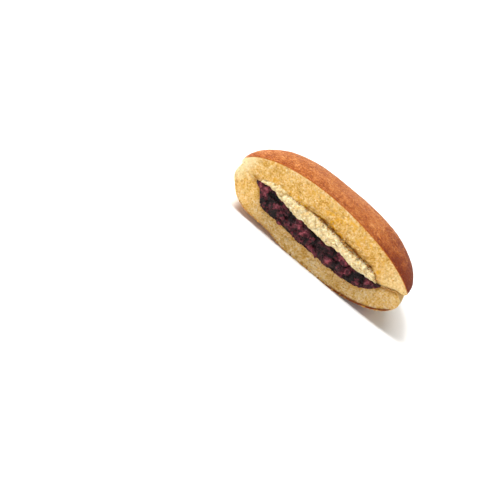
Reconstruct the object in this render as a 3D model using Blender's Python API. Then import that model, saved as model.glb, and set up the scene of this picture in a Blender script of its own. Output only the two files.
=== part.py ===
"""Half of a dorayaki: two griddled sponge cakes round sweet bean paste and whipped
butter cream, cut straight through the middle and lying on its lower cake.

Frame: metres, +Z up. The cut runs along X and its face looks along -Y. The origin is
the centre of the bounding box's base, so the half stands on z = 0.

How it is made: each layer is a profile of (radius, height) turned half a turn about
the upright axis of the whole cake, and its open cut is filled with one flat face.
Then one shared warp makes all four layers uneven together, so the gaps between
neighbours stay open while the cakes sag and the filling wanders as in real food.
"""

import math

import bmesh
import bpy
from mathutils import Matrix, Vector

MM = 0.001

# Driving sizes of the whole cake, before the warp
RIM_RADIUS = 45.3 * MM
TOP_HEIGHT = 34.8 * MM
GAP = 0.32 * MM  # kept between neighbouring layers

# The two rims, and the crease between them
UPPER_RIM_HEIGHT = 21.6 * MM
LOWER_RIM_HEIGHT = 15.0 * MM
CREASE_RADIUS = 42.4 * MM
CREASE_HEIGHT = 19.8 * MM

# The base: the lower cake is a bowl that would reach below the floor, cut flat there
BASE_DEPTH = 0.8 * MM
BASE_FULLNESS = 2.6  # exponent of the base's curve; 2 is an ellipse
TOP_SLOPE = 1.2  # power of the dome's cosine; 1 is an ellipse

# The filling
FILLING_RADIUS = 34.5 * MM
FILLING_EDGE_HEIGHT = 16.7 * MM  # where bean paste and both cakes meet
PASTE_FLOOR = 7.6 * MM
PASTE_TOP = 16.1 * MM
CREAM_RADIUS = 32.2 * MM
CREAM_THICKNESS = 6.0 * MM  # at the middle
CREAM_DOME = 2.2  # exponent of the fall from the middle
CREAM_EDGE = 0.32  # exponent of the rounding at the edge

# The unevenness, which warped() spreads over all four layers
RIM_SWELL = 0.010  # three slow waves round the half, as a share of the radius
RIM_RIPPLE = 0.005  # seven quick ones at the rim
CREASE_PINCH = 0.024  # the crease is that much shallower at the left, deeper at the right
LOWER_PINCH = 0.03  # the lower cake is drawn in at its lower left
TOP_LEAN = 1.25 * MM  # the top is fuller at the left of the cut and flatter at the right
TOP_SINK = 3.65 * MM  # the top sinks behind the middle of the cut
TOP_TWIST = 1.0 * MM  # a little more at the left than at the right
CREAM_ASIDE = 1.8 * MM  # the cream lies further left than the paste
PASTE_RISE = 3.7 * MM  # the left end of the filling rises
CREAM_RISE = 1.4 * MM
PASTE_LOBE = 1.9 * MM  # the paste hangs down at its lower left
FILLING_HUMP = 0.5 * MM  # left of the middle
FILLING_DIP = 1.2 * MM  # at the right
FILLING_WAVE = 0.5 * MM  # from the cut to the back
CREASE_WAVE = 0.5 * MM
BASE_LIFT = 2.4 * MM  # the base leaves the floor at the left of the cut
BASE_SAG = 0.28  # extra fullness of the base at the back rim

# How fine the solids are
TURN_STEPS = 36
CURVE_STEPS = 15
LIP_STEPS = 5

COLOURS = {  # linear base colour and roughness
    "upper_cake": ((0.52, 0.22, 0.07), 0.6),
    "lower_cake": ((0.78, 0.50, 0.16), 0.75),
    "bean_paste": ((0.045, 0.012, 0.014), 0.35),
    "cream": ((0.88, 0.74, 0.42), 0.65),
}


# ---- Heights of the layers' faces, as functions of the radius


def lerp(a, b, t):
    return a + (b - a) * t


def paste_floor(radius):
    """Underside of the bean paste: nearly flat, then a bowl's edge."""
    return lerp(PASTE_FLOOR, FILLING_EDGE_HEIGHT, (radius / FILLING_RADIUS) ** 6)


def paste_top(radius):
    """Top of the bean paste, which meets its underside in a thin edge."""
    return lerp(PASTE_TOP, FILLING_EDGE_HEIGHT, (radius / FILLING_RADIUS) ** 2)


def cream_top(radius):
    """Top of the cream, a low dome with a rounded edge."""
    share = max(1 - (radius / CREAM_RADIUS) ** CREAM_DOME, 0)
    return paste_top(radius) + GAP + CREAM_THICKNESS * share**CREAM_EDGE


def seam(radius):
    """Middle of the pinched joint between the cakes, from the filling to the crease."""
    t = (radius - FILLING_RADIUS) / (CREASE_RADIUS - FILLING_RADIUS)
    return lerp(FILLING_EDGE_HEIGHT, CREASE_HEIGHT, t)


# ---- Profiles, each from the axis outward over the top and back along the underside


def steps(count):
    return [i / count for i in range(count + 1)]


def upper_cake_profile():
    rise = TOP_HEIGHT - UPPER_RIM_HEIGHT
    dome = [
        (
            RIM_RADIUS * math.sin(t * math.pi / 2),
            UPPER_RIM_HEIGHT + rise * max(math.cos(t * math.pi / 2), 0) ** TOP_SLOPE,
        )
        for t in steps(CURVE_STEPS)
    ]
    lip_width = RIM_RADIUS - CREASE_RADIUS
    lip_drop = UPPER_RIM_HEIGHT - CREASE_HEIGHT - GAP / 2
    lip = [
        (
            CREASE_RADIUS + lip_width * math.cos(t * math.pi / 2),
            UPPER_RIM_HEIGHT - lip_drop * math.sin(t * math.pi / 2),
        )
        for t in steps(LIP_STEPS)[1:]
    ]
    joint = [
        (radius, seam(radius) + GAP / 2)
        for radius in (lerp(CREASE_RADIUS, FILLING_RADIUS, t) for t in steps(4)[1:])
    ]
    before_cream = lerp(FILLING_RADIUS, CREAM_RADIUS + GAP, 0.6)
    over_paste = [(before_cream, paste_top(before_cream) + GAP)]
    spread = (CREAM_RADIUS + GAP) / CREAM_RADIUS
    over_cream = [
        (radius * spread, height + GAP) for radius, height in reversed(cream_dome())
    ]
    return dome + lip + joint + over_paste + over_cream


def lower_cake_profile():
    bowl = [
        (radius, paste_floor(radius) - GAP)
        for radius in (FILLING_RADIUS * t for t in steps(CURVE_STEPS - 2)[:-1])
    ]
    joint = [
        (radius, seam(radius) - GAP / 2)
        for radius in (lerp(FILLING_RADIUS, CREASE_RADIUS, t) for t in steps(4))
    ]
    shoulder_width = RIM_RADIUS - CREASE_RADIUS
    shoulder_rise = CREASE_HEIGHT - GAP / 2 - LOWER_RIM_HEIGHT
    shoulder = [
        (
            CREASE_RADIUS + shoulder_width * math.sin(t * math.pi / 2),
            LOWER_RIM_HEIGHT + shoulder_rise * math.cos(t * math.pi / 2),
        )
        for t in steps(LIP_STEPS)[1:]
    ]
    depth = LOWER_RIM_HEIGHT + BASE_DEPTH
    base = [
        (
            RIM_RADIUS * math.cos(t * math.pi / 2) ** (2 / BASE_FULLNESS),
            LOWER_RIM_HEIGHT - depth * math.sin(t * math.pi / 2),
        )
        for t in steps(CURVE_STEPS)[1:-1]
    ] + [(0.0, -BASE_DEPTH)]
    return bowl + joint + shoulder + base


def bean_paste_profile():
    inner = FILLING_RADIUS - GAP
    top = [(inner * t, paste_top(inner * t)) for t in steps(CURVE_STEPS)]
    edge = [(FILLING_RADIUS, FILLING_EDGE_HEIGHT)]
    floor = [(inner * t, paste_floor(inner * t)) for t in reversed(steps(CURVE_STEPS))]
    return top[:-1] + edge + floor[1:]


def cream_dome():
    radii = [CREAM_RADIUS * math.sin(t * math.pi / 2) for t in steps(CURVE_STEPS - 2)]
    return [(radius, cream_top(radius)) for radius in radii]


def cream_profile():
    floor = [
        (CREAM_RADIUS * t, paste_top(CREAM_RADIUS * t) + GAP)
        for t in reversed(steps(CURVE_STEPS - 3)[:-1])
    ]
    return cream_dome() + floor


# ---- The shared warp


def smooth(value):
    """0 below 0, 1 above 1, and a smooth rise between."""
    t = min(max(value, 0), 1)
    return t * t * (3 - 2 * t)


def plateau(value, low, high, soft):
    """1 between low and high, falling smoothly to 0 over soft on either side."""
    return smooth((value - low) / soft + 1) * smooth((high - value) / soft + 1)


def hill(value, middle, width):
    """1 at the middle, falling smoothly to 0 within about two widths."""
    return math.exp(-(((value - middle) / width) ** 2))


def wander(x, y, z):
    """Height that the filling wanders by: up at the left, down at the right, and waves."""
    share_of_cream = smooth((z - PASTE_TOP) / (5 * MM))
    return (
        lerp(PASTE_RISE, CREAM_RISE, share_of_cream) * hill(x, -29 * MM, 10 * MM)
        + FILLING_HUMP * hill(x, -7 * MM, 6 * MM)
        - FILLING_DIP * hill(x, 19 * MM, 13 * MM)
        + FILLING_WAVE * math.sin(y / (7 * MM))
    )


def warped(point):
    """A point of the turned layers, moved as the whole half sags and bulges."""
    x, y, z = point
    turn = math.atan2(y, x)
    out = math.hypot(x, y) / RIM_RADIUS
    # The rim is no true circle, and its crease and its lower left are pinched
    swell = RIM_SWELL * math.sin(3 * turn + 0.5) * out**2
    swell += RIM_RIPPLE * math.sin(7 * turn) * out**4
    swell -= CREASE_PINCH * math.cos(turn) * hill(z, CREASE_HEIGHT, 1.5 * MM) * out**6
    swell += LOWER_PINCH * min(math.cos(turn), 0) * hill(z, 8.5 * MM, 4 * MM) * out**4
    x, y = x * (1 + swell), y * (1 + swell)
    # The top leans to the left, and sinks behind the cut towards the back
    share = max(z - CREASE_HEIGHT, 0) / (TOP_HEIGHT - CREASE_HEIGHT)
    lean = TOP_LEAN * math.tanh(x / (22 * MM))
    sink = TOP_SINK * hill(x, -1.5 * MM, 23 * MM) - TOP_TWIST * math.tanh(x / (16 * MM))
    z -= (lean + sink * y / RIM_RADIUS) * min(share * 1.6, 1)
    # The filling wanders between the cakes, and fades out towards the rim
    inside = 1 - min(out, 1) ** 4
    at_left = smooth((-x - 14 * MM) / (18 * MM))
    above_paste = smooth((z - 16.2 * MM) / (2.5 * MM) + 1.2 * at_left)
    x -= CREAM_ASIDE * above_paste * smooth((23 * MM - z) / (6 * MM) + 1) * inside
    lobe = hill(x, -26 * MM, 6.5 * MM) * hill(y, 0, 12 * MM) * hill(z, 10.5 * MM, 3.5 * MM)
    z -= PASTE_LOBE * lobe * inside
    z += wander(x, y, z) * plateau(z, 14 * MM, 21 * MM, 8 * MM) * inside
    # The crease rises and falls round the back
    wave = CREASE_WAVE * math.sin(2 * turn) * math.sin(3 * turn) * out**4
    z += wave * plateau(z, 17 * MM, 22 * MM, 7 * MM)
    # The base is fuller at the back, lifts a little at the cut, and is flat where it stands
    below_rim = max(LOWER_RIM_HEIGHT - z, 0)
    lift = BASE_LIFT * hill(x, -20 * MM, 10 * MM) * hill(y, 0, 9 * MM)
    z += lift * below_rim / LOWER_RIM_HEIGHT
    z -= below_rim * BASE_SAG * (y / RIM_RADIUS) ** 2
    return Vector((x, y, max(z, 0)))


# ---- Making the nodes


def material(name):
    colour, roughness = COLOURS[name]
    made = bpy.data.materials.new(name)
    made.use_nodes = True
    shader = made.node_tree.nodes["Principled BSDF"]
    shader.inputs["Base Color"].default_value = (*colour, 1)
    shader.inputs["Roughness"].default_value = roughness
    shader.inputs["Metallic"].default_value = 0
    return made


def half_turned(name, profile):
    """The profile turned half a turn, with the cut filled, as a new object."""
    bm = bmesh.new()
    corners = [bm.verts.new((radius, 0, height)) for radius, height in profile]
    edges = [bm.edges.new(pair) for pair in zip(corners, corners[1:])]
    bmesh.ops.spin(
        bm,
        geom=corners + edges,
        axis=(0, 0, 1),
        cent=(0, 0, 0),
        angle=math.pi,
        steps=TURN_STEPS,
    )
    bmesh.ops.remove_doubles(bm, verts=bm.verts, dist=0.001 * MM)
    rim_of_cut = [edge for edge in bm.edges if edge.is_boundary]
    bmesh.ops.contextual_create(bm, geom=rim_of_cut)
    for vertex in bm.verts:
        on_cut = abs(vertex.co.y) < 1e-7
        vertex.co = warped(vertex.co)
        if on_cut:
            vertex.co.y = 0
    bmesh.ops.recalc_face_normals(bm, faces=bm.faces)
    mesh = bpy.data.meshes.new(name)
    bm.to_mesh(mesh)
    bm.free()
    mesh.shade_smooth()
    mesh.set_sharp_from_angle(angle=math.radians(40))
    mesh.materials.append(material(name))
    obj = bpy.data.objects.new(name, mesh)
    bpy.context.scene.collection.objects.link(obj)
    return obj


def centre_on_base(objects):
    """Moves the meshes so that the origin is the centre of the whole box's base."""
    points = [vertex.co for obj in objects for vertex in obj.data.vertices]
    low = [min(point[i] for point in points) for i in range(3)]
    high = [max(point[i] for point in points) for i in range(3)]
    shift = Vector((-(low[0] + high[0]) / 2, -(low[1] + high[1]) / 2, -low[2]))
    for obj in objects:
        obj.data.transform(Matrix.Translation(shift))


def build():
    for obj in list(bpy.data.objects):
        bpy.data.objects.remove(obj)
    layers = [
        half_turned("lower_cake", lower_cake_profile()),
        half_turned("bean_paste", bean_paste_profile()),
        half_turned("cream", cream_profile()),
        half_turned("upper_cake", upper_cake_profile()),
    ]
    centre_on_base(layers)


build()
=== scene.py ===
import math

import bpy
import numpy as np
from mathutils import Matrix, Vector


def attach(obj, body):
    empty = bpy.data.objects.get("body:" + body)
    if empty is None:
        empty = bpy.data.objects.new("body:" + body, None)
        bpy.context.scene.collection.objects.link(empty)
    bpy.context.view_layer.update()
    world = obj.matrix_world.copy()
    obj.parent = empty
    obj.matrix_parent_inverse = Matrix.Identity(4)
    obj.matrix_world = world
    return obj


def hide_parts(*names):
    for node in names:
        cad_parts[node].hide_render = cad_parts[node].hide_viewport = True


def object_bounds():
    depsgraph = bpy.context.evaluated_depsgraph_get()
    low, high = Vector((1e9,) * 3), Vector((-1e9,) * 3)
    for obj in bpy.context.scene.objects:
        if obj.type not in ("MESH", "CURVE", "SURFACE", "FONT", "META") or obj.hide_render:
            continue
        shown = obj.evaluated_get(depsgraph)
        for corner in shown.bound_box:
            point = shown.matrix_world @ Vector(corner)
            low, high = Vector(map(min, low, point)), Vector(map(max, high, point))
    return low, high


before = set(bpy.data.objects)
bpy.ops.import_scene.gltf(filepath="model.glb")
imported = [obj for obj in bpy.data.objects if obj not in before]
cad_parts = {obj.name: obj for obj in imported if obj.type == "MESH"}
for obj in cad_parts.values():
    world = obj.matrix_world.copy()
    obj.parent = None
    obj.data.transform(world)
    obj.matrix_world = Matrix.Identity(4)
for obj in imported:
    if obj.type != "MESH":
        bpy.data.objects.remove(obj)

cadLow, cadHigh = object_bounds()
mm = 0.001

# The half's form in millimetres, turned about the upright axis of the whole cake
form = {
    "rimRadius": 45.3,
    "topHeight": 34.8,
    "topSlope": 1.2,  # power of the dome's cosine
    "upperRim": 21.6,
    "lowerRim": 15.0,
    "creaseRadius": 42.4,
    "creaseHeight": 19.8,
    "baseDepth": 0.8,  # how far the base's bowl would reach below the floor
    "baseFullness": 2.6,
    "fillingRadius": 34.5,
    "fillingEdge": 16.7,
    "pasteFloor": 7.6,
    "pasteTop": 16.1,
    "creamRadius": 32.2,
    "creamThickness": 6.0,
    "creamDome": 2.2,
    "creamEdge": 0.32,
    # the unevenness, which warped() spreads over all four layers
    "rimSwell": 0.010,
    "rimRipple": 0.005,
    "creasePinch": 0.024,
    "lowerPinch": 0.03,
    "topLean": 1.25,
    "topSink": 3.65,
    "topTwist": 1.0,
    "creamAside": 1.8,
    "pasteRise": 3.7,
    "creamRise": 1.4,
    "pasteLobe": 1.9,
    "fillingHump": 0.5,
    "fillingDip": 1.2,
    "fillingWave": 0.5,
    "creaseWave": 0.5,
    "baseLift": 2.4,
    "baseSag": 0.28,
}


# Noise, all on arrays of points in millimetres

def hashed(cells, seed):
    # scrambles whole-number cell places into evenly spread 32-bit numbers
    parts = cells.astype(np.int64).astype(np.uint32)
    h = parts[..., 0] * np.uint32(73856093)
    h ^= parts[..., 1] * np.uint32(19349663)
    h ^= parts[..., 2] * np.uint32(83492791)
    h ^= np.full(h.shape, (seed * 2654435761) % 4294967296, np.uint32)
    for bits, factor in ((15, 2246822519), (13, 3266489917), (16, 668265263)):
        h ^= h >> np.uint32(bits)
        h *= np.full(h.shape, factor, np.uint32)
    return h ^ (h >> np.uint32(15))


def noise(points, size, seed):
    # gradient noise from about -1 to 1: slopes hashed at the corners of cells of the given
    # size, each slope's plane blended with a smooth fifth-power step
    scaled = points / size
    cell = np.floor(scaled)
    part = scaled - cell
    blend = part**3 * (part * (part * 6 - 15) + 10)
    total = np.zeros(len(points))
    for corner in np.ndindex(2, 2, 2):
        corner = np.array(corner, float)
        h = hashed(cell + corner, seed)
        slopes = np.stack([(h >> np.uint32(s)) & np.uint32(1023) for s in (0, 10, 20)], -1)
        plane = ((slopes / 511.5 - 1) * (part - corner)).sum(-1)
        total += plane * np.where(corner > 0, blend, 1 - blend).prod(-1)
    return total * 1.3


def layered(points, size, seed, layers=3):
    # noise at the size and at half of it each time, with half the height
    return sum(noise(points, size / 2**i, seed + i) / 2**i for i in range(layers))


def cellular(points, size, seed):
    # distance to the nearest and second nearest of one hashed point for each cell, in cell
    # widths, and a number from 0 to 1 that belongs to the nearest
    scaled = points / size
    cell = np.floor(scaled)
    nearest = np.full(len(points), 9.0)
    second = np.full(len(points), 9.0)
    mark = np.zeros(len(points))
    for step in np.ndindex(3, 3, 3):
        near = cell + np.array(step, float) - 1
        h = hashed(near, seed)
        inside = np.stack([(h >> np.uint32(s)) & np.uint32(1023) for s in (0, 10, 20)], -1)
        away = np.sqrt(((near + inside / 1023 - scaled) ** 2).sum(-1))
        closer = away < nearest
        second = np.where(closer, nearest, np.minimum(second, away))
        mark = np.where(closer, hashed(near, seed + 77) / 4294967295, mark)
        nearest = np.where(closer, away, nearest)
    return nearest, second, mark


def stirred(points, size, amount, seed):
    # the points pushed about by three noises, so that cells laid on them lose their round
    # look
    push = [noise(points, size, seed + i) for i in range(3)]
    return points + amount * np.stack(push, -1)


def smooth(value, low=0.0, high=1.0):
    # 0 at low, 1 at high, an S-shaped rise between
    t = np.clip((value - low) / (high - low), 0, 1)
    return t * t * (3 - 2 * t)


def hill(value, middle, width):
    # 1 at the middle, falling as a bell
    return np.exp(-(((value - middle) / width) ** 2))


def between(value, rise, fall):
    # 0, rising to 1 over the first span and falling back to 0 over the second
    return smooth(value, *rise) * (1 - smooth(value, *fall))


def plateau(value, low, high, soft):
    # 1 between low and high, falling smoothly to 0 over soft on either side
    return smooth((value - low) / soft + 1) * smooth((high - value) / soft + 1)


# Heights of the layers' faces over the radius, and the two skins' curves

def pasteFloor(r):
    # a flat floor that turns up as the sixth power of the radius
    f = form
    return f["pasteFloor"] + (f["fillingEdge"] - f["pasteFloor"]) * (r / f["fillingRadius"]) ** 6


def pasteTop(r):
    # rises as the square of the radius to the edge
    f = form
    return f["pasteTop"] + (f["fillingEdge"] - f["pasteTop"]) * (r / f["fillingRadius"]) ** 2


def creamTop(r):
    # the paste's top plus a low dome with a rounded edge
    f = form
    share = np.maximum(1 - (r / f["creamRadius"]) ** f["creamDome"], 0)
    return pasteTop(r) + f["creamThickness"] * share ** f["creamEdge"]


def seam(r):
    # a straight slope from the filling's edge up to the crease
    f = form
    t = (r - f["fillingRadius"]) / (f["creaseRadius"] - f["fillingRadius"])
    return f["fillingEdge"] + (f["creaseHeight"] - f["fillingEdge"]) * t


def domeCurve(t):
    # radius as a sine, height over the rim as a power of the cosine
    f = form
    rise = f["topHeight"] - f["upperRim"]
    height = f["upperRim"] + rise * np.maximum(np.cos(t), 0) ** f["topSlope"]
    return f["rimRadius"] * np.sin(t), height


def baseCurve(t):
    # radius as a power of the cosine, depth under the rim as a sine
    f = form
    radius = f["rimRadius"] * np.maximum(np.cos(t), 0) ** (2 / f["baseFullness"])
    return radius, f["lowerRim"] - (f["lowerRim"] + f["baseDepth"]) * np.sin(t)


def warped(x, y, z):
    # the shared unevenness: an untrue rim, a top that is fuller at the left and sinks
    # behind it, a filling that wanders between the cakes and hangs down in a lobe at its
    # left, a waved crease and a base that lifts at the cut and is flat where it stands
    f = form
    turn = np.arctan2(y, x)
    out = np.hypot(x, y) / f["rimRadius"]
    swell = f["rimSwell"] * np.sin(3 * turn + 0.5) * out**2
    swell = swell + f["rimRipple"] * np.sin(7 * turn) * out**4
    swell = swell - f["creasePinch"] * np.cos(turn) * hill(z, f["creaseHeight"], 1.5) * out**6
    swell = swell + f["lowerPinch"] * np.minimum(np.cos(turn), 0) * hill(z, 8.5, 4) * out**4
    x, y = x * (1 + swell), y * (1 + swell)
    share = np.maximum(z - f["creaseHeight"], 0) / (f["topHeight"] - f["creaseHeight"])
    lean = f["topLean"] * np.tanh(x / 22)
    sink = f["topSink"] * hill(x, -1.5, 23) - f["topTwist"] * np.tanh(x / 16)
    z = z - (lean + sink * y / f["rimRadius"]) * np.minimum(share * 1.6, 1)
    inside = 1 - np.minimum(out, 1) ** 4
    abovePaste = smooth((z - 16.2) / 2.5 + 1.2 * smooth(-x, 14, 32))
    x = x - f["creamAside"] * abovePaste * smooth((23 - z) / 6 + 1) * inside
    lobe = hill(x, -26, 6.5) * hill(y, 0, 12) * hill(z, 10.5, 3.5)
    z = z - f["pasteLobe"] * lobe * inside
    rise = f["pasteRise"] - (f["pasteRise"] - f["creamRise"]) * smooth((z - f["pasteTop"]) / 5)
    wander = (rise * hill(x, -29, 10) + f["fillingHump"] * hill(x, -7, 6)
              - f["fillingDip"] * hill(x, 19, 13) + f["fillingWave"] * np.sin(y / 7))
    z = z + wander * plateau(z, 14, 21, 8) * inside
    wave = f["creaseWave"] * np.sin(2 * turn) * np.sin(3 * turn) * out**4
    z = z + wave * plateau(z, 17, 22, 7)
    belowRim = np.maximum(f["lowerRim"] - z, 0)
    z = z + f["baseLift"] * hill(x, -20, 10) * hill(y, 0, 9) * belowRim / f["lowerRim"]
    z = z - belowRim * f["baseSag"] * (y / f["rimRadius"]) ** 2
    return np.stack([x, y, np.maximum(z, 0)], -1)


def shiftToFrame():
    # from the middle of the two skins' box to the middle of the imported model's, in the
    # plane; the height stays, as both stand on the floor
    t = np.linspace(0, np.pi / 2, 200)[:, None]
    turn = np.linspace(0, np.pi, 181)[None, :]
    skins = [warped(r * np.cos(turn), r * np.sin(turn), z + 0 * turn).reshape(-1, 3)
             for r, z in (domeCurve(t), baseCurve(t))]
    both = np.concatenate(skins)
    middle = (both.min(0) + both.max(0)) / 2
    target = (np.array(cadLow) + np.array(cadHigh)) / 2 / mm
    return np.array([target[0] - middle[0], target[1] - middle[1], cadLow[2] / mm])


shift = shiftToFrame()
print("shift to the frame, mm", shift.round(2))


# From curves to pieces

def evenly(curve, count):
    # the same curve, with points at equal steps along its length
    radii, heights = curve.T
    length = np.concatenate([[0], np.cumsum(np.hypot(np.diff(radii), np.diff(heights)))])
    along = np.linspace(0, length[-1], count + 1)
    return np.stack([np.interp(along, length, radii), np.interp(along, length, heights)], -1)


def halfTurned(above, below, piece):
    # Two curves from the axis to a shared rim point are turned half a turn, and the cut
    # between them is a grid whose columns run straight from one curve to the other.
    # Returns points, faces and what each point is: its side (1 above, -1 below, 0 inside
    # the cut), whether it is on the cut or inside it, its share of the way up the cut, and
    # how thick the piece is there.
    n, turns, rows = piece["steps"], piece["turns"], piece["rows"]
    above, below = evenly(above, n), evenly(below, n)
    loop = np.concatenate([above, below[-2::-1]])  # axis, out to the rim, back to the axis
    angle = np.linspace(0, np.pi, turns + 1)
    middle = loop[1:-1]
    x = middle[:, None, 0] * np.cos(angle)
    y = middle[:, None, 0] * np.sin(angle)
    z = np.repeat(middle[:, None, 1], turns + 1, 1)
    skin = np.stack([x, y, z], -1).reshape(-1, 3)
    poles = np.array([[0, 0, loop[0, 1]], [0, 0, loop[-1, 1]]])
    start = len(skin)
    top, bottom = start, start + 1

    def onLoop(k, j):
        # a point's number: k along the loop, j round the turn; the loop's ends are poles
        return np.where(k == 0, top, np.where(k == 2 * n, bottom, (k - 1) * (turns + 1) + j))

    column = np.arange(-(n - 1), n)
    turnEnd = np.where(column > 0, 0, turns)
    upper = onLoop(abs(column), turnEnd)
    lower = onLoop(2 * n - abs(column), turnEnd)
    share = (np.arange(1, rows) / rows)[None, :, None]
    everything = np.concatenate([skin, poles])
    inner = everything[lower][:, None] * (1 - share) + everything[upper][:, None] * share
    first = start + 2
    grid = first + np.arange(len(column) * (rows - 1)).reshape(len(column), rows - 1)
    grid = np.concatenate([lower[:, None], grid, upper[:, None]], 1)
    points = np.concatenate([everything, inner.reshape(-1, 3)])

    k, j = np.meshgrid(np.arange(1, 2 * n - 1), np.arange(turns), indexing="ij")
    quads = np.stack([onLoop(k, j), onLoop(k + 1, j), onLoop(k + 1, j + 1), onLoop(k, j + 1)], -1)
    cut = np.stack([grid[:-1, :-1], grid[1:, :-1], grid[1:, 1:], grid[:-1, 1:]], -1)
    j = np.arange(turns)
    topFan = np.stack([np.full(turns, top), onLoop(1 + 0 * j, j), onLoop(1 + 0 * j, j + 1)], -1)
    last = 2 * n - 1 + 0 * j
    bottomFan = np.stack([onLoop(last, j), np.full(turns, bottom), onLoop(last, j + 1)], -1)
    rightRim = np.stack([grid[-1, :-1], np.full(rows, onLoop(np.array(n), 0)), grid[-1, 1:]], -1)
    leftRim = np.stack([np.full(rows, onLoop(np.array(n), turns)), grid[0, :-1], grid[0, 1:]], -1)
    faces = quads.reshape(-1, 4).tolist() + cut.reshape(-1, 4).tolist()
    for fan in (topFan, bottomFan, rightRim, leftRim):
        faces += fan.tolist()

    side = np.zeros(len(points))
    place = np.arange(1, 2 * n)
    side[:start] = np.repeat(np.where(place < n, 1, -1), turns + 1)
    side[top], side[bottom] = 1, -1
    up = np.full(len(points), 0.5)
    up[grid] = np.linspace(0, 1, rows + 1)
    onCut = np.zeros(len(points), bool)
    onCut[grid] = True
    onCut[onLoop(np.array(n), 0)] = onCut[onLoop(np.array(n), turns)] = True
    thickness = np.zeros(len(points))
    thickness[grid] = (everything[upper] - everything[lower])[:, 2][:, None]
    return {"points": points, "faces": faces, "side": side, "up": up, "onCut": onCut,
            "inside": onCut & (side == 0), "thickness": thickness}


def normalsOf(points, faces):
    # each corner's normal: the sum of its faces' area vectors, made one long
    total = np.zeros_like(points)
    for size in (3, 4):
        some = np.array([face for face in faces if len(face) == size])
        if len(some):
            corners = points[some]
            across = corners[:, 2] - corners[:, 0]
            other = corners[:, -1] - corners[:, 1]
            area = np.cross(across, other)
            for i in range(size):
                np.add.at(total, some[:, i], area)
    return total / np.maximum(np.linalg.norm(total, axis=1, keepdims=True), 1e-12)


def putIn(name, points, faces, marks, material, node=None, sharp=48):
    # makes the piece: points in millimetres, shifted to the frame, and named marks as one
    # number for each point
    mesh = bpy.data.meshes.new(name)
    mesh.from_pydata(((points + shift) * mm).tolist(), [], faces)
    for mark, values in marks.items():
        layer = mesh.attributes.new(mark, "FLOAT", "POINT")
        layer.data.foreach_set("value", np.asarray(values, np.float32))
    mesh.shade_smooth()
    mesh.set_sharp_from_angle(angle=math.radians(sharp))
    mesh.materials.append(material)
    piece = bpy.data.objects.new(name, mesh)
    bpy.context.scene.collection.objects.link(piece)
    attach(piece, "root")
    if node:
        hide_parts(node)
    print(name, len(points), "points", len(faces), "faces")
    return piece


# Materials

def linear(code):
    # sRGB hex to linear light
    parts = [int(code[i:i + 2], 16) / 255 for i in (1, 3, 5)]
    return [p / 12.92 if p <= 0.04045 else ((p + 0.055) / 1.055) ** 2.4 for p in parts] + [1.0]


def addNode(tree, kind, settings=None, links=None, out=0):
    # adds a node and gives back one of its outputs; settings are its own properties, or
    # stops for a ramp, and links gives an input another node's output or a plain value
    node = tree.nodes.new(kind)
    for key, value in (settings or {}).items():
        if key == "stops":
            ramp = node.color_ramp
            while len(ramp.elements) < len(value):
                ramp.elements.new(0.5)
            for element, (position, colour) in zip(ramp.elements, value):
                element.position = position
                element.color = linear(colour)
        else:
            setattr(node, key, value)
    for key, value in (links or {}).items():
        if isinstance(value, bpy.types.NodeSocket):
            tree.links.new(value, node.inputs[key])
        else:
            node.inputs[key].default_value = value
    return node.outputs[out] if len(node.outputs) else None


def newMaterial(name):
    # an empty node tree, and object coordinates with one unit to a millimetre
    material = bpy.data.materials.new(name)
    material.use_nodes = True
    tree = material.node_tree
    tree.nodes.clear()
    place = addNode(tree, "ShaderNodeTexCoord", out="Object")
    spot = addNode(tree, "ShaderNodeVectorMath", {"operation": "SCALE"},
                   {0: place, "Scale": 1 / mm})
    return material, tree, spot


def finish(tree, colour, height, bumpDepth, values):
    # the shader at the end of each material; plain values sit on its own sockets
    bump = addNode(tree, "ShaderNodeBump", None,
                   {"Strength": 1.0, "Distance": bumpDepth * mm, "Height": height}, "Normal")
    shader = addNode(tree, "ShaderNodeBsdfPrincipled", None,
                     {"Base Color": colour, "Normal": bump, **values})
    addNode(tree, "ShaderNodeOutputMaterial", None, {"Surface": shader})


# Griddled honey sponge: a batter of egg, flour and honey baked on a hot plate. The skin that
# lay on the plate is browned, thin, leathery and finely pored; the cut shows an open matte
# crumb, and an orange line where the browning reaches into it. Sizes are in millimetres; the
# real skin's pores are 0.3 wide and are drawn three times as wide so that they show.
sponge = {
    "crustColours": [(0.0, "#f0cd86"), (0.15, "#deab74"), (0.42, "#cc8548"), (0.65, "#ab5b24"),
                     (0.9, "#74290a")],
    "crumbColours": [(0.1, "#bd893c"), (0.35, "#dbab56"), (0.6, "#e8c27f"), (0.9, "#f7e3b6")],
    "blotchSize": 5.0,
    "blotch": 0.35,  # height of the wide blotches beside the fine mottling's
    "mottleSize": 0.85,
    "mottle": 1.7,  # how much the fine mottling moves the browning
    "crustPoreSize": 0.95,
    "crustPoreColour": "#70300f",
    "crustPore": 0.4,  # how far the pores darken the browned crust
    "brownest": 0.62,  # where full browning lies on the crust's colours
    "patchSize": 4.2,
    "patch": 1.1,
    "grainSize": 0.85,
    "grain": 2.0,
    "crumbPoreSize": 1.3,
    # pores painted darker: painted shade in the holes
    "crumbPoreShadeColour": "#b07a2e",
    # golden patches of moist crumb; near the roof over the cream they are partly painted shade
    "goldenColour": "#dfa52e",
    "golden": 0.75,
    # pits painted darker: painted shade in the pits
    "pitShadeColour": "#b27a30",
    # lighter at the cakes' left tips as painted light, and a little paler at the upper cake's
    # right end
    "paleAndPaintedLightColour": "#fff3c4",
    "edgeLineDepth": 0.9,
    "bump": 0.75,
}


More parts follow.
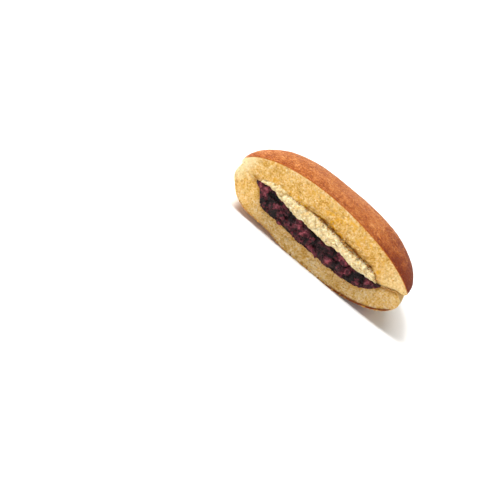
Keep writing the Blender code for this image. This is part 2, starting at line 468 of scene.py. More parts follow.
def spongeMaterial(name, cake):
    # crust and crumb of one cake, mixed by its marks; the cake gives its own tints
    s = sponge
    material, tree, spot = newMaterial(name)
    marks = {which: addNode(tree, "ShaderNodeAttribute", {"attribute_name": which}, out="Fac")
             for which in ("cutFace", "skinDepth", "browning", "damp", "moist", "pit", "dense",
                           "pale")}

    # crust: the browning, with the painted shade and sheen that its mark carries, moved by wide
    # blotches and fine mottling, and darker pores
    blotch = addNode(tree, "ShaderNodeTexNoise", None,
                     {"Vector": spot, "Scale": 1 / s["blotchSize"], "Detail": 3.0})
    mottle = addNode(tree, "ShaderNodeTexNoise", None,
                     {"Vector": spot, "Scale": 1 / s["mottleSize"], "Detail": 3.0,
                      "Roughness": 0.75})
    pore = addNode(tree, "ShaderNodeTexVoronoi", None,
                   {"Vector": spot, "Scale": 1 / s["crustPoreSize"]})
    pore = addNode(tree, "ShaderNodeMapRange", {"interpolation_type": "SMOOTHSTEP"},
                   {"Value": pore, "From Min": 0.1, "From Max": 0.5, "To Min": 1.0,
                    "To Max": 0.0})
    amount = addNode(tree, "ShaderNodeMapRange", None,
                     {"Value": marks["browning"], "To Min": 0.2 * s["mottle"],
                      "To Max": s["mottle"]})
    shade = addNode(tree, "ShaderNodeMath", {"operation": "MULTIPLY_ADD"},
                    {0: blotch, 1: s["blotch"], 2: -0.5 - 0.5 * s["blotch"]})
    shade = addNode(tree, "ShaderNodeMath", {"operation": "ADD"}, {0: mottle, 1: shade})
    browned = addNode(tree, "ShaderNodeMath", {"operation": "MULTIPLY"},
                      {0: marks["browning"], 1: s["brownest"]})
    shade = addNode(tree, "ShaderNodeMath", {"operation": "MULTIPLY_ADD"},
                    {0: shade, 1: amount, 2: browned})
    crust = addNode(tree, "ShaderNodeValToRGB", {"stops": s["crustColours"]}, {"Fac": shade})
    dark = addNode(tree, "ShaderNodeMath", {"operation": "MULTIPLY", "use_clamp": True},
                   {0: pore, 1: marks["browning"]})
    dark = addNode(tree, "ShaderNodeMath", {"operation": "MULTIPLY"},
                   {0: dark, 1: s["crustPore"]})
    crust = addNode(tree, "ShaderNodeMix", {"data_type": "RGBA"},
                    {0: dark, 6: crust, 7: linear(s["crustPoreColour"])}, 2)

    # crumb: patches and grain, pores painted darker as painted shade in the holes, then what the
    # marks say of each place: damp crumb with painted shade in the crevices, painted shade in the
    # pits and over the lower crumb's middle, painted light at the tips
    patch = addNode(tree, "ShaderNodeTexNoise", None,
                    {"Vector": spot, "Scale": 1 / s["patchSize"], "Detail": 3.0,
                     "Roughness": 0.6})
    grain = addNode(tree, "ShaderNodeTexNoise", None,
                    {"Vector": spot, "Scale": 1 / s["grainSize"], "Detail": 3.0,
                     "Roughness": 0.75})
    hole = addNode(tree, "ShaderNodeTexVoronoi", None,
                   {"Vector": spot, "Scale": 1 / s["crumbPoreSize"]})
    hole = addNode(tree, "ShaderNodeMapRange", {"interpolation_type": "SMOOTHSTEP"},
                   {"Value": hole, "From Min": 0.08, "From Max": 0.5, "To Min": 0.35,
                    "To Max": 0.0})
    tone = addNode(tree, "ShaderNodeMath", {"operation": "MULTIPLY_ADD"},
                   {0: grain, 1: s["grain"], 2: 0.52 - 0.5 * s["grain"] - 0.5 * s["patch"]})
    tone = addNode(tree, "ShaderNodeMath", {"operation": "MULTIPLY_ADD"},
                   {0: patch, 1: s["patch"], 2: tone})
    crumb = addNode(tree, "ShaderNodeValToRGB", {"stops": s["crumbColours"]}, {"Fac": tone})
    moist = addNode(tree, "ShaderNodeMapRange", {"interpolation_type": "SMOOTHSTEP"},
                    {"Value": patch, "From Min": 0.47, "From Max": 0.66, "To Min": 0.0,
                     "To Max": s["golden"]})
    moist = addNode(tree, "ShaderNodeMath", {"operation": "MULTIPLY"},
                    {0: moist, 1: marks["moist"]})
    crumb = addNode(tree, "ShaderNodeMix", {"data_type": "RGBA"},
                    {0: moist, 6: crumb, 7: linear(s["goldenColour"])}, 2)
    # the pores painted darker: painted shade in the holes
    crumb = addNode(tree, "ShaderNodeMix", {"data_type": "RGBA"},
                    {0: hole, 6: crumb, 7: linear(s["crumbPoreShadeColour"])}, 2)
    # the lower crumb multiplied darker in its middle: painted shade
    crumb = addNode(tree, "ShaderNodeMix", {"data_type": "RGBA", "blend_type": "MULTIPLY"},
                    {0: marks["dense"], 6: crumb, 7: linear(cake["paintedShadeColour"])}, 2)
    # damp crumb and painted shade in the crevices, painted shade in the pits, painted light at the
    # left tips
    for mark, colour, most in (("damp", cake["dampAndShadeColour"], 0.95),
                               ("pit", s["pitShadeColour"], 0.4), ("pale", s["paleAndPaintedLightColour"], 0.8)):
        amount = addNode(tree, "ShaderNodeMath", {"operation": "MULTIPLY"},
                         {0: marks[mark], 1: most})
        crumb = addNode(tree, "ShaderNodeMix", {"data_type": "RGBA"},
                        {0: amount, 6: crumb, 7: linear(colour)}, 2)
    reach = addNode(tree, "ShaderNodeMapRange", {"interpolation_type": "SMOOTHSTEP"},
                    {"Value": marks["skinDepth"], "From Min": 0.15,
                     "From Max": s["edgeLineDepth"], "To Min": 1.0, "To Max": 0.0})
    reach = addNode(tree, "ShaderNodeMath", {"operation": "MULTIPLY", "use_clamp": True},
                    {0: reach, 1: marks["browning"]})
    crumb = addNode(tree, "ShaderNodeMix", {"data_type": "RGBA"},
                    {0: reach, 6: crumb, 7: linear(cake["edgeLineColour"])}, 2)
    colour = addNode(tree, "ShaderNodeMix", {"data_type": "RGBA"},
                     {0: marks["cutFace"], 6: crust, 7: crumb}, 2)

    # pores sink and grains stand out; the skin is smoother than the crumb
    crustHeight = addNode(tree, "ShaderNodeMath", {"operation": "MULTIPLY_ADD"},
                          {0: pore, 1: -0.35, 2: mottle})
    crumbHeight = addNode(tree, "ShaderNodeMath", {"operation": "MULTIPLY_ADD"},
                          {0: hole, 1: -0.9, 2: grain})
    height = addNode(tree, "ShaderNodeMix", {"data_type": "FLOAT"},
                     {0: marks["cutFace"], 2: crustHeight, 3: crumbHeight})
    roughness = addNode(tree, "ShaderNodeMapRange", None,
                        {"Value": marks["cutFace"], "To Min": 0.5, "To Max": 0.85})
    finish(tree, colour, height, s["bump"],
           {"Roughness": roughness, "Specular IOR Level": 0.1, "Subsurface Weight": 0.25,
            "Subsurface Radius": (1.0, 0.6, 0.3), "Subsurface Scale": 0.7 * mm})
    return material


# Chunky sweet bean paste: azuki boiled with sugar and roughly mashed. Dark wine brown and
# wet, with maroon skins, so it shows small sharp highlights.
azuki = {
    "colours": [(0.27, "#140406"), (0.43, "#3b141b"), (0.6, "#571c27"), (0.85, "#91454f")],
    "lumpSize": 3.0,
    "lump": 1.1,  # how far the lumps and the fine grain move the colour
    "fineSize": 1.1,
    "fine": 0.8,
    "roughness": 0.22,
    "bump": 1.1,
}


def pasteMaterial():
    # lumps and fine grain added to each bean's own tint, which also carries painted shade in the
    # creases between lumps and painted highlights on their tops
    a = azuki
    material, tree, spot = newMaterial("mashedAzukiPaste")
    lump = addNode(tree, "ShaderNodeTexNoise", None,
                   {"Vector": spot, "Scale": 1 / a["lumpSize"], "Detail": 4.0,
                    "Roughness": 0.7})
    fine = addNode(tree, "ShaderNodeTexNoise", None,
                   {"Vector": spot, "Scale": 1 / a["fineSize"], "Detail": 3.0,
                    "Roughness": 0.6})
    tint = addNode(tree, "ShaderNodeAttribute", {"attribute_name": "skinTint"}, out="Fac")
    tone = addNode(tree, "ShaderNodeMath", {"operation": "MULTIPLY_ADD"},
                   {0: lump, 1: a["lump"], 2: tint})
    tone = addNode(tree, "ShaderNodeMath", {"operation": "MULTIPLY_ADD"},
                   {0: fine, 1: a["fine"], 2: tone})
    tone = addNode(tree, "ShaderNodeMath", {"operation": "SUBTRACT"}, {0: tone, 1: 0.48})
    colour = addNode(tree, "ShaderNodeValToRGB", {"stops": a["colours"]}, {"Fac": tone})
    finish(tree, colour, fine, a["bump"], {"Roughness": a["roughness"],
                                           "Specular IOR Level": 0.22})
    return material


# Whipped butter cream: fat and air whipped stiff and spread cold. Pale yellow and matte,
# with a torn grain.
butterCream = {
    "colours": [(0.0, "#ac803e"), (0.22, "#cdad6e"), (0.5, "#e0cea0"), (0.8, "#f7edcc")],
    "patchSize": 3.0,
    "patch": 0.9,  # how far the patches and the fine grain move the colour
    "fineSize": 0.8,
    "fine": 0.9,
    "roughness": 0.6,
    "bump": 0.6,
}


def creamMaterial():
    # patches and fine grain, darker in the torn hollows as painted shade
    b = butterCream
    material, tree, spot = newMaterial("whippedButterCream")
    patch = addNode(tree, "ShaderNodeTexNoise", None,
                    {"Vector": spot, "Scale": 1 / b["patchSize"], "Detail": 3.0,
                     "Roughness": 0.6})
    fine = addNode(tree, "ShaderNodeTexNoise", None,
                   {"Vector": spot, "Scale": 1 / b["fineSize"], "Detail": 3.0,
                    "Roughness": 0.65})
    hollow = addNode(tree, "ShaderNodeAttribute", {"attribute_name": "hollow"}, out="Fac")
    tone = addNode(tree, "ShaderNodeMath", {"operation": "MULTIPLY_ADD"},
                   {0: patch, 1: b["patch"], 2: -0.4})
    tone = addNode(tree, "ShaderNodeMath", {"operation": "MULTIPLY_ADD"},
                   {0: fine, 1: b["fine"], 2: tone})
    tone = addNode(tree, "ShaderNodeMath", {"operation": "SUBTRACT"}, {0: tone, 1: hollow})
    colour = addNode(tree, "ShaderNodeValToRGB", {"stops": b["colours"]}, {"Fac": tone})
    finish(tree, colour, fine, b["bump"],
           {"Roughness": b["roughness"], "IOR": 1.42, "Subsurface Weight": 0.35,
            "Subsurface Radius": (1.0, 0.7, 0.4), "Subsurface Scale": 1.2 * mm})
    return material


# Toasted crumbs: bits torn off the skin and the crumb by the knife. Dry and matte.
toastedCrumb = {
    "colours": [(0.0, "#6b3a12"), (0.4, "#a86c28"), (0.75, "#d9a650"), (1.0, "#f0d191")],
    "grainSize": 0.5,
}


def crumbMaterial():
    # fine grain added to how far each crumb is toasted
    c = toastedCrumb
    material, tree, spot = newMaterial("toastedSpongeCrumbs")
    grain = addNode(tree, "ShaderNodeTexNoise", None,
                    {"Vector": spot, "Scale": 1 / c["grainSize"], "Detail": 2.0})
    toast = addNode(tree, "ShaderNodeAttribute", {"attribute_name": "toast"}, out="Fac")
    tone = addNode(tree, "ShaderNodeMath", {"operation": "MULTIPLY_ADD"},
                   {0: grain, 1: 0.4, 2: toast})
    colour = addNode(tree, "ShaderNodeValToRGB", {"stops": c["colours"]}, {"Fac": tone})
    finish(tree, colour, grain, 0.2, {"Roughness": 0.8, "IOR": 1.36})
    return material


# Shapes that the pieces share

def crumbRelief(points, sizes, seed):
    # open sponge: pits where the distance to a cell's middle is under the cell's own
    # radius, smaller pits between them, and grain; returns the pits' mask and the height
    moved = stirred(points, 2.2, 0.5, seed + 3)
    near, _, mark = cellular(moved, sizes["poreSize"], seed)
    fineNear, _, fineMark = cellular(moved, 1.0, seed + 1)
    pit = smooth(1 - near / (0.2 + 0.45 * mark)) * (mark > 0.4)
    finePit = smooth(1 - fineNear / 0.55) * (fineMark > 0.45)
    height = (0.22 * noise(points, 8, seed + 5) + sizes["grain"] * layered(points, 1.7, seed + 6)
              - sizes["poreDepth"] * pit - 0.25 * finePit)
    return np.clip(pit + 0.4 * finePit, 0, 1), height


def drawnIn(points, near, amount, reach):
    # sinks the crumb behind the cut: by amount where near is 1, less with near, and by
    # nothing at the distance reach behind the cut
    points[:, 1] += amount * near * (1 - smooth(points[:, 1], 0, reach))


def tornFace(raw):
    # the line where paste and cream meet in the cut: a mound of paste right of the middle
    # and a ragged noise, dying as a bell away from their shared face and behind the cut
    r = np.minimum(np.hypot(raw[:, 0], raw[:, 1]), form["fillingRadius"])
    lift = 1.3 * hill(raw[:, 0], 12, 5) + 0.75 * layered(raw * [1, 0, 0], 3.4, 61)
    lift = lift * hill(raw[:, 2] - pasteTop(r), 0, 2.4) * (1 - smooth(raw[:, 1], 2, 9))
    return raw + np.stack([0 * lift, 0 * lift, lift * (1 - smooth(r, 28, 33))], -1)


def ballShape(rows, columns):
    # a ball of radius 1 with its poles on x: rings at even steps of the latitude's angle
    lat = (np.pi * np.arange(1, rows) / rows)[:, None]
    lon = 2 * np.pi * np.arange(columns)[None, :] / columns
    rings = np.stack([np.cos(lat) + 0 * lon, np.sin(lat) * np.cos(lon),
                      np.sin(lat) * np.sin(lon)], -1)
    points = np.concatenate([[[1, 0, 0]], rings.reshape(-1, 3), [[-1, 0, 0]]])
    a, b = np.meshgrid(np.arange(rows - 2), np.arange(columns), indexing="ij")
    following = (b + 1) % columns
    here, below = 1 + a * columns, 1 + (a + 1) * columns
    quads = np.stack([here + b, below + b, below + following, here + following], -1)
    b, last = np.arange(columns), 1 + (rows - 2) * columns
    following = (b + 1) % columns
    first = np.stack([0 * b, 1 + b, 1 + following], -1)
    end = np.stack([0 * b + len(points) - 1, last + following, last + b], -1)
    return points, quads.reshape(-1, 4), np.concatenate([first, end])


def joinedCopies(bodies, quads, triangles):
    # copies x points x 3, made one mesh: each copy's faces count on from the last one's
    step = (np.arange(len(bodies)) * bodies.shape[1])[:, None, None]
    faces = (quads + step).reshape(-1, 4).tolist() + (triangles + step).reshape(-1, 3).tolist()
    return bodies.reshape(-1, 3), faces


# Upper cake: its domed crust, its crumb where it was cut, and the roof over the filling
upperCake = {
    "steps": 150,  # points from the axis to the rim, a third of a millimetre apart
    "turns": 190,
    "rows": 40,
    # white, so the upper crumb gets no painted shade
    "paintedShadeColour": "#ffffff",
    # colour of damp crumb and of painted shade in the crevices
    "dampAndShadeColour": "#854d14",
    "edgeLineColour": "#b9611f",
    "crustSwell": 0.28,
    "crustDimple": 0.1,
    "poreDepth": 0.25,
    "poreSize": 2.1,
    "grain": 0.26,
    "gapDepth": 1.6,  # how far the crumb draws back above the cream
    "gapWidth": 1.9,
    "gapOpens": (-19, 0),  # spans across the cut, left to right
    "gapCloses": (24, 33),
    "furrowDepth": 1.1,  # and along the joint, out to the notch
    "furrowWidth": 0.9,
    "furrowOpens": (27, 35),
    "furrowCloses": (40, 44.5),
}


def makeUpperCake(material):
    # the dome; under it a quarter-ellipse lip, the pinched joint and the roof that lies on
    # the paste and the cream
    f, c = form, upperCake
    t = np.linspace(0, np.pi / 2, 400)
    dome = np.stack(domeCurve(t), -1)
    lip = np.stack([f["creaseRadius"] + (f["rimRadius"] - f["creaseRadius"]) * np.sin(t),
                    f["creaseHeight"] + (f["upperRim"] - f["creaseHeight"])
                    * (1 - np.cos(t))], -1)
    r = np.linspace(f["fillingRadius"], f["creaseRadius"], 60)
    joint = np.stack([r, seam(r)], -1)
    r = np.linspace(0, f["fillingRadius"], 400)
    roof = np.stack([r, creamTop(r)], -1)
    made = halfTurned(dome, np.concatenate([roof, joint[1:], lip[1:]]), c)
    raw, inside = made["points"], made["inside"]
    points = warped(*raw.T)
    points[made["onCut"], 1] = 0
    normals = normalsOf(points, made["faces"])
    skinDepth = np.where(inside, (1 - made["up"]) * made["thickness"], 0)
    fromUnder = np.where(inside, made["up"] * made["thickness"],
                         np.where(made["side"] < 0, 0, 99))
    across = points[:, 0]

    # browned over the dome and pale under the lip, and darker towards the right end
    browning = smooth(raw[:, 2], f["upperRim"] - 0.6, f["upperRim"] + 1.2)
    # the slight lightening towards the left is painted sheen
    browning = browning * (1 + 0.5 * smooth(across, 14, 44) - 0.05 * smooth(-across, 8, 38))
    # darker near the cut: painted shade, against which the dome further back shows as a painted
    # sheen
    browning = browning * (1 + 0.15 * hill(points[:, 1], 0, 5))
    browning = np.where(inside, smooth(raw[:, 2] + skinDepth, f["upperRim"], f["upperRim"] + 3),
                        browning)
    crust = ~inside & (made["side"] > 0)
    swell = (c["crustSwell"] * noise(points, 13, 3)
             + c["crustDimple"] * layered(points, 2.0, 5, 2))
    pit, relief = crumbRelief(points, c, 11)
    relief = relief * smooth(skinDepth, 0, 1.2) * smooth(fromUnder, 0, 0.6)
    height = np.where(crust, swell, np.where(inside, relief, 0))
    points = points + normals * height[:, None]

    overFilling = between(across, c["gapOpens"], c["gapCloses"])
    onJoint = between(across, c["furrowOpens"], c["furrowCloses"])
    gap = hill(fromUnder, 0, c["gapWidth"])
    furrow = hill(fromUnder, 0, c["furrowWidth"])
    drawnIn(points, gap * overFilling, c["gapDepth"], 6)
    drawnIn(points, furrow * onJoint, c["furrowDepth"], 4)
    points[:, 2] -= 0.15 * (made["side"] < 0) * smooth(-across, 33, 36)  # shut at the left
    # darker along the crevice over the cream, in brown specks, in the furrow at the right and at
    # the left crease: partly damp crumb, partly painted shade in these crevices
    freckled = 0.4 + 1.2 * smooth(layered(points * [0.7, 1, 1], 1.6, 31, 2), -0.15, 0.4)
    damp = (hill(fromUnder, 0, 1.3) + 0.35 * hill(fromUnder, 1.8, 1.8)) * freckled
    damp = damp * overFilling + furrow * onJoint * 0.6
    damp = damp + 0.7 * hill(across, -36, 2.4) * hill(fromUnder, 0, 1.8)
    moist = (0.4 + 0.9 * hill(across, 8, 20)) * smooth(skinDepth, 0.8, 3)
    # more golden in a band under the roof over the cream: partly moist crumb, partly painted shade
    # under the drawn-back roof
    moist = moist + 0.9 * hill(fromUnder, 0, 4)
    marks = {"cutFace": inside | made["onCut"] & (made["side"] < 0), "skinDepth": skinDepth,
             "browning": browning, "damp": np.clip(damp, 0, 1) * made["onCut"], "moist": moist,
             "pit": pit * inside, "dense": 0 * across,
             # lighter at the left tip: painted light; a little paler towards the right end
             "pale": smooth(-across, 37, 45) + 0.3 * smooth(across, 28, 40)}
    return putIn("upperSponge", points, made["faces"], marks, material,
                 "upper_cake")


# Lower cake: a shallow bowl of sponge with a thick rounded rim and a browned base
lowerCake = {
    "steps": 150,
    "turns": 190,
    "rows": 30,
    # multiplied into the lower crumb's middle as painted shade
    "paintedShadeColour": "#dcdfec",
    # colour of damp crumb and of painted shade in the creases
    "dampAndShadeColour": "#a8742e",
    "edgeLineColour": "#6c3010",
    "crustSwell": 0.25,
    "crustDimple": 0.08,
    "poreDepth": 0.25,
    "poreSize": 2.0,
    "grain": 0.24,
    "furrowDepth": 1.1,
    "furrowWidth": 1.1,
    "furrowOpens": (31, 36),
    "furrowCloses": (40, 44.5),
    "notch": 1.0,  # how far the shoulder drops away from the upper lip at the right
}


def makeLowerCake(material):
    # the base, then the quarter-ellipse shoulder, the joint and the bowl that holds the
    # paste
    f, c = form, lowerCake
    t = np.linspace(0, np.pi / 2, 400)
    base = np.stack(baseCurve(t), -1)[::-1]
    shoulder = np.stack([f["creaseRadius"] + (f["rimRadius"] - f["creaseRadius"]) * np.sin(t),
                         f["lowerRim"] + (f["creaseHeight"] - f["lowerRim"]) * np.cos(t)], -1)
    r = np.linspace(f["fillingRadius"], f["creaseRadius"], 60)
    joint = np.stack([r, seam(r)], -1)
    r = np.linspace(0, f["fillingRadius"], 300)
    bowl = np.stack([r, pasteFloor(r)], -1)
    made = halfTurned(np.concatenate([bowl, joint[1:], shoulder[1:]]), base, c)
    raw, inside = made["points"], made["inside"]
    points = warped(*raw.T)
    points[made["onCut"], 1] = 0
    normals = normalsOf(points, made["faces"])
    skinDepth = np.where(inside, made["up"] * made["thickness"], 0)
    fromOver = np.where(inside, (1 - made["up"]) * made["thickness"],
                        np.where(made["side"] > 0, 0, 99))
    out = np.hypot(raw[:, 0], raw[:, 1])
    across = points[:, 0]

    # browned underneath, and for longer up the side at the right of the cut
    browned = 1 + 6 * smooth(across, 20, 40)
    browning = smooth(-raw[:, 2], -7.5, -3.0)
    browning = np.where(inside, smooth(-(raw[:, 2] - skinDepth), -5 - browned, -2 - browned),
                        browning)
    browning = browning * (0.6 + 0.7 * smooth(across, 0, 25))
    skin = ~inside & ((out > f["fillingRadius"] * 0.99) | (made["side"] < 0))
    swell = (c["crustSwell"] * noise(points, 12, 43)
             + c["crustDimple"] * layered(points, 2.2, 45, 2)) * smooth(points[:, 2], 0.05, 2.0)
    pit, relief = crumbRelief(points, c, 51)
    relief = relief * smooth(skinDepth, 0, 1.2) * smooth(fromOver, 0, 0.6)
    height = np.where(inside, relief, np.where(skin, swell, 0))
    points = points + normals * height[:, None]

    onJoint = between(across, c["furrowOpens"], c["furrowCloses"])
    furrow = hill(fromOver, 0, c["furrowWidth"])
    drawnIn(points, furrow * onJoint, c["furrowDepth"], 4)
    notched = smooth(across, 33, 41) * hill(fromOver, 0, 3) * (1 - smooth(points[:, 1], 0, 9))
    points[:, 2] -= c["notch"] * notched
    # darker along the paste's underside, in the furrow at the right and at the left crease: partly
    # damp crumb, partly painted shade in these creases
    damp = 0.5 * hill(fromOver, 0, 0.9) * (out < f["fillingRadius"] + 1) + furrow * onJoint * 0.8
    damp = damp + 0.7 * hill(across, -36, 2.4) * hill(fromOver, 0, 1.8)
    # darker over the lower crumb's middle, less so towards the right end: painted shade
    dense = plateau(across, -22, 40, 14) * (1 - 0.35 * smooth(across, 22, 40))
    skinDepth = skinDepth * (1 - 0.55 * smooth(across, 5, 25))  # browned deeper at the right
    marks = {"cutFace": inside, "skinDepth": skinDepth, "browning": browning,
             "damp": np.clip(damp, 0, 1) * made["onCut"], "moist": 0 * across + 0.3,
             "pit": pit * inside, "dense": dense,
             # lighter at the left tip, above the base: painted light
             "pale": smooth(-across, 39, 46) * smooth(points[:, 2], 8, 16)}
    return putIn("lowerSponge", points, made["faces"], marks, material,
                 "lower_cake")


# Bean paste: a mass of mashed beans, bulging a little out of the cut
paste = {
    "steps": 170,
    "turns": 60,
    "rows": 56,
    "bulge": 0.9,
    "lumpSize": 4.2,
    "lump": 1.4,
    "crumbleSize": 1.8,
    "crumble": 0.75,
    "grit": 0.4,
    "raggedEdge": 1.4,
}


def makePaste(material):
    # a lens between its floor and its top; the cut stands out as rounded cells, each as
    # one minus the squared distance to its middle
    f, c = form, paste
    r = np.linspace(0, f["fillingRadius"], 400)
    above = np.stack([r, pasteTop(r)], -1)
    made = halfTurned(above, np.stack([r, pasteFloor(r)], -1), c)
    points = warped(*tornFace(made["points"]).T)
    points[made["onCut"], 1] = 0
    depth = np.where(made["inside"], np.minimum(made["up"], 1 - made["up"]) * made["thickness"], 0)
    loose = stirred(stirred(points, 4, 1.6, 75), 1.5, 0.5, 78)
    near, _, mark = cellular(loose * [1, 1, 1.25], c["lumpSize"], 71)
    fineNear, _, fineMark = cellular(loose, c["crumbleSize"], 72)
    lump = c["lump"] * (1 - near**2 * 1.6) * (0.4 + 0.8 * mark)
    crumble = c["crumble"] * (1 - fineNear**2 * 1.5) * (0.4 + fineMark)
    height = (c["bulge"] * smooth(depth, 0, 2.5) + lump + crumble
              + c["grit"] * layered(points, 1.3, 73, 3) - 0.8)
    height = height * smooth(depth, -1.1, 1.0)
    points[:, 1] -= np.where(made["onCut"], height, 0)
    edge = made["onCut"] & (made["side"] < 0)
    ragged = c["raggedEdge"] * smooth(f["fillingRadius"] - abs(points[edge, 0]), 2, 8)
    points[edge, 2] += ragged * layered(points[edge], 2.8, 74, 2)
    # each lump's own tint, darker in the creases between lumps as painted shade and lighter on the
    # lump tops as painted highlight
    tint = (0.3 * (mark - 0.5) + 0.3 * (fineMark - 0.5) - 0.2 * smooth(near, 0.45, 0.8)
            + 0.14 * smooth(0.45 - near, 0, 0.4))
    return putIn("azukiPaste", points, made["faces"], {"skinTint": tint}, material,
                 "bean_paste", sharp=80)


# Butter cream: a torn, slightly crumbly band above the paste
cream = {
    "steps": 160,
    "turns": 60,
    "rows": 44,
    "bulge": 0.7,
    "ridgeSize": 1.7,
    "ridge": 0.55,
    "tear": 1.25,
    "sunk": 0.5,  # how far the torn upper edge lies below the roof on the whole
    "sunkIn": 0.15,  # how far its underside reaches into the paste
}


def makeCream(material):
    # a low dome on the paste's top; its cut stands out with ridges, and the cut's upper
    # edge is torn: raised and lowered by noise
    f, c = form, cream
    r = np.linspace(0, f["creamRadius"], 600)
    above = np.stack([r, creamTop(r)], -1)
    made = halfTurned(above, np.stack([r, pasteTop(r) - c["sunkIn"]], -1), c)
    points = warped(*tornFace(made["points"]).T)
    points[made["onCut"], 1] = 0
    depth = np.where(made["inside"], np.minimum(made["up"], 1 - made["up"]) * made["thickness"], 0)
    loose = stirred(points, 2.2, 0.9, 85)
    near, second, mark = cellular(loose, c["ridgeSize"], 81)
    fineNear, _, _ = cellular(loose, c["ridgeSize"] / 2, 84)
    ridges = (c["ridge"] * (1 - near**2 * 2) * (0.5 + mark) + 0.25 * (1 - fineNear * 1.5)
              + 0.3 * layered(points, 3.0, 82, 3))
    height = (c["bulge"] * smooth(depth, -0.5, 1.6) + ridges) * smooth(depth, -0.6, 0.8)
    points[:, 1] -= np.where(made["onCut"], height, 0)
    sunk = c["sunk"] * (smooth(points[:, 0], -24, -4) + 1.2 * hill(points[:, 0], 12, 9))
    torn = c["tear"] * layered(points * [1, 0, 0.4], 1.9, 83, 3) - sunk
    torn = torn * smooth(made["thickness"], 0.4, 2.5)
    points[:, 2] += torn * np.where(made["onCut"], smooth(made["up"], 0.3, 1.0), 0)
    # darker along the ridges' cell borders and in the fine hollows: painted shade
    hollow = smooth(0.3 - (second - near)) * 0.3 + 0.15 * smooth(fineNear, 0.4, 0.8)
    return putIn("butterCream", points, made["faces"], {"hollow": hollow}, material,
                 "cream", sharp=80)


# Azuki beans that stayed whole or half whole, showing in the paste's cut
beans = {
    "count": 22,
    "across": (-28, 30),  # where along the cut they lie
    "apart": 3.4,
    "halfLength": 2.6,
    "halfWidth": 1.8,
    "sunk": (0.3, 1.0),  # how far their middles lie behind the cut
    "tint": (-0.15, 0.2),
    "seed": 7,
}


def makeBeans(material):
    # each bean is an ellipsoid with a shallow dent along its side, wrinkled by noise and
    # half sunk in the paste's face
    c = beans
    chance = np.random.default_rng(c["seed"])
    ball, quads, triangles = ballShape(14, 20)
    placed = []
    while len(placed) < c["count"]:
        x = chance.uniform(*c["across"])
        low, high = pasteFloor(abs(x)), pasteTop(abs(x))
        z = chance.uniform(low + 1.0, high - 1.0) if high - low > 2.4 else -1
        if z > 0 and all(np.hypot(x - q, z - s) > c["apart"] for q, s in placed):
            placed.append((x, z))
    bodies, tints = [], []
    for number, (x, z) in enumerate(placed):
        size = chance.uniform(0.7, 1.1)
        body = ball * [c["halfLength"] * size, c["halfWidth"] * size * 0.8,
                       c["halfWidth"] * size]
        body = body * (1 + 0.14 * noise(ball + number * 9, 0.45, 91))[:, None]
        body[:, 2] -= 0.3 * hill(ball[:, 0], 0, 0.5) * (ball[:, 2] > 0)
        turned = np.array(Matrix.Rotation(chance.uniform(0, np.pi), 3, "Y")
                          @ Matrix.Rotation(chance.uniform(-0.5, 0.5), 3, "Z"))
        centre = warped(*tornFace(np.array([[x, 1e-6, z]])).T)[0]
        centre[1] = chance.uniform(*c["sunk"])
        bodies.append(body @ turned.T + centre)
        tints.append(np.full(len(body), chance.uniform(*c["tint"])))
    points, faces = joinedCopies(np.array(bodies), quads, triangles)
    return putIn("azukiBeans", points, faces, {"skinTint": np.concatenate(tints)},
                 material, sharp=80)


# Crumbs that the knife tore off, lying in the gap over the cream and clinging to the cut
crumbs = {
    "inGap": 150,
    "gapAcross": (-19, 33),
    "onBase": 90,
    "lowest": 0.55,  # height of the lowest ones' middles, so that none reaches underground
    "onFace": 60,
    "size": (0.16, 0.42),
    "seed": 21,
}


def makeCrumbs(material):
    # each crumb is a ball of a few faces, each point drawn to 0.6 to 1.3 of the radius and
    # each axis stretched by as much; they lie along the roof's edge, the base's edge and on
    # the face
    f, c = form, crumbs
    chance = np.random.default_rng(c["seed"])
    ball, quads, triangles = ballShape(4, 6)
    x = chance.uniform(*c["gapAcross"], c["inGap"])
    gapZ = creamTop(np.minimum(abs(x), f["creamRadius"])) + chance.normal(0.1, 0.45, len(x))
    gap = warped(x, 0 * x + 1e-6, gapZ)
    gap[:, 1] = chance.uniform(-0.2, 1.3, len(x))
    x = f["rimRadius"] * chance.uniform(-0.8, 0.93, c["onBase"])
    share = (1 - (abs(x) / f["rimRadius"]) ** f["baseFullness"]) ** 0.5
    baseZ = f["lowerRim"] - (f["lowerRim"] + f["baseDepth"]) * share
    base = warped(x, 0 * x + 1e-6, baseZ) + [0, 0, 0.3]
    base[:, 1] = chance.uniform(-0.25, 0.1, len(x))
    base[:, 2] = np.maximum(base[:, 2], c["lowest"])
    x = chance.uniform(-38, 38, c["onFace"])
    faceZ = f["upperRim"] + 6 * (1 - (x / f["rimRadius"]) ** 2) + chance.normal(0, 1.5, len(x))
    face = warped(x, 0 * x + 1e-6, faceZ)
    face[:, 1] = -0.15
    centres = np.concatenate([gap, base, face])
    toast = np.concatenate([chance.uniform(-0.1, 0.45, len(gap)),
                            chance.uniform(0.0, 0.6, len(base)),
                            chance.uniform(0.45, 0.8, len(face))])
    sizes = chance.uniform(*c["size"], (len(centres), 1, 1))
    rough = ball * chance.uniform(0.6, 1.3, (len(centres), len(ball), 1))
    bodies = centres[:, None] + rough * sizes * chance.uniform(0.6, 1.3, (len(centres), 1, 3))
    points, faces = joinedCopies(bodies, quads, triangles)
    return putIn("looseCrumbs", points, faces, {"toast": np.repeat(toast, len(ball))},
                 material, sharp=80)


makeUpperCake(spongeMaterial("griddledSpongeUpper", upperCake))
makeLowerCake(spongeMaterial("griddledSpongeLower", lowerCake))
azukiLook = pasteMaterial()
makePaste(azukiLook)
makeBeans(azukiLook)
makeCream(creamMaterial())
makeCrumbs(crumbMaterial())
print("pieces made")


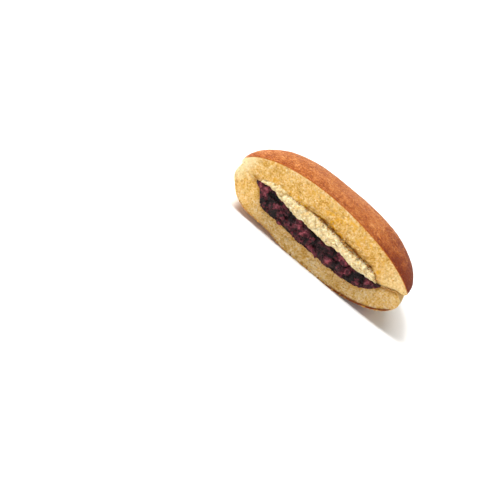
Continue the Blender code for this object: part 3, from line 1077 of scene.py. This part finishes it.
# Floor, light and camera
studio = {
    "floorColour": "#f4f3f1",
    "floorSize": 3.0,
    "skyColour": "#ffffff",
    "skyStrength": 0.42,
    # each light: its kind, direction from the half as right, up and back of the view,
    # distance, power, and size (a sun's in degrees)
    "lights": (
        ("keyLight", "AREA", (0.05, 0.95, 0.5), 0.9, 9.0, 0.35),
        ("fillLight", "AREA", (-0.6, -0.1, 0.8), 1.0, 5.0, 0.8),
        ("topLight", "SUN", (0.35, 0.9, 0.35), 1.1, 1.6, 40.0),
    ),
}

view = {
    "azimuth": 2.1,
    "elevation": 26.6,
    "roll": 38.8,  # turned until the half leans as it was served
    "distance": 0.7,
    "lens": 114.4,
    "aside": (0.0540, 0.0210),  # tangents of where the half's middle lies off the view's axis
}


def makeStage():
    # a flat square of pale floor under an even sky
    s = studio
    size = s["floorSize"]
    mesh = bpy.data.meshes.new("floor")
    mesh.from_pydata([(-size, -size, 0), (size, -size, 0), (size, size, 0), (-size, size, 0)],
                     [], [(0, 1, 2, 3)])
    floor = bpy.data.objects.new("floor", mesh)
    bpy.context.scene.collection.objects.link(floor)
    material, tree, _ = newMaterial("mattePaperFloor")
    shader = addNode(tree, "ShaderNodeBsdfPrincipled", None,
                     {"Base Color": linear(s["floorColour"]), "Roughness": 0.9})
    addNode(tree, "ShaderNodeOutputMaterial", None, {"Surface": shader})
    mesh.materials.append(material)
    world = bpy.data.worlds.new("paleRoom")
    bpy.context.scene.world = world
    world.use_nodes = True
    background = world.node_tree.nodes["Background"]
    background.inputs["Color"].default_value = linear(s["skyColour"])
    background.inputs["Strength"].default_value = s["skyStrength"]


def viewAxes():
    # right, up and back of a camera that looks straight at the half: back from azimuth and
    # elevation, then right and up turned about it by the roll
    a, e = math.radians(view["azimuth"]), math.radians(view["elevation"])
    back = Vector((math.sin(a) * math.cos(e), -math.cos(a) * math.cos(e), math.sin(e)))
    right = Vector((math.cos(a), math.sin(a), 0))
    up = back.cross(right)
    r = math.radians(view["roll"])
    return (right * math.cos(r) + up * math.sin(r), up * math.cos(r) - right * math.sin(r), back)


def makeCamera():
    # stands at the view's distance from the half's middle, then turns aside until the
    # middle lies off its axis by the two tangents
    centre = (cadLow + cadHigh) / 2
    right, up, back = viewAxes()
    camera = bpy.data.cameras.new("camera")
    camera.lens = view["lens"]
    camera.clip_start = 0.01
    holder = bpy.data.objects.new("camera", camera)
    bpy.context.scene.collection.objects.link(holder)
    straight = Matrix((right, up, back)).transposed()
    wanted = Vector((view["aside"][0], view["aside"][1], -1)).normalized()
    turn = wanted.rotation_difference(Vector((0, 0, -1))).to_matrix()
    holder.matrix_world = (Matrix.Translation(centre + back * view["distance"])
                           @ (straight @ turn).to_4x4())
    bpy.context.scene.camera = holder


def makeLights():
    # each light stands off the half's middle in the view's own directions and faces it
    centre = (cadLow + cadHigh) / 2
    right, up, back = viewAxes()
    for name, kind, way, distance, power, size in studio["lights"]:
        light = bpy.data.lights.new(name, kind)
        light.energy = power
        if kind == "AREA":
            light.shape = "DISK"
            light.size = size
        else:
            light.angle = math.radians(size)
        holder = bpy.data.objects.new(name, light)
        bpy.context.scene.collection.objects.link(holder)
        toLight = (right * way[0] + up * way[1] + back * way[2]).normalized()
        holder.location = centre + toLight * distance
        holder.rotation_euler = toLight.to_track_quat("Z", "Y").to_euler()


makeStage()
makeCamera()
makeLights()
bpy.context.scene.view_settings.view_transform = "Standard"
print("stage, camera and lights set")
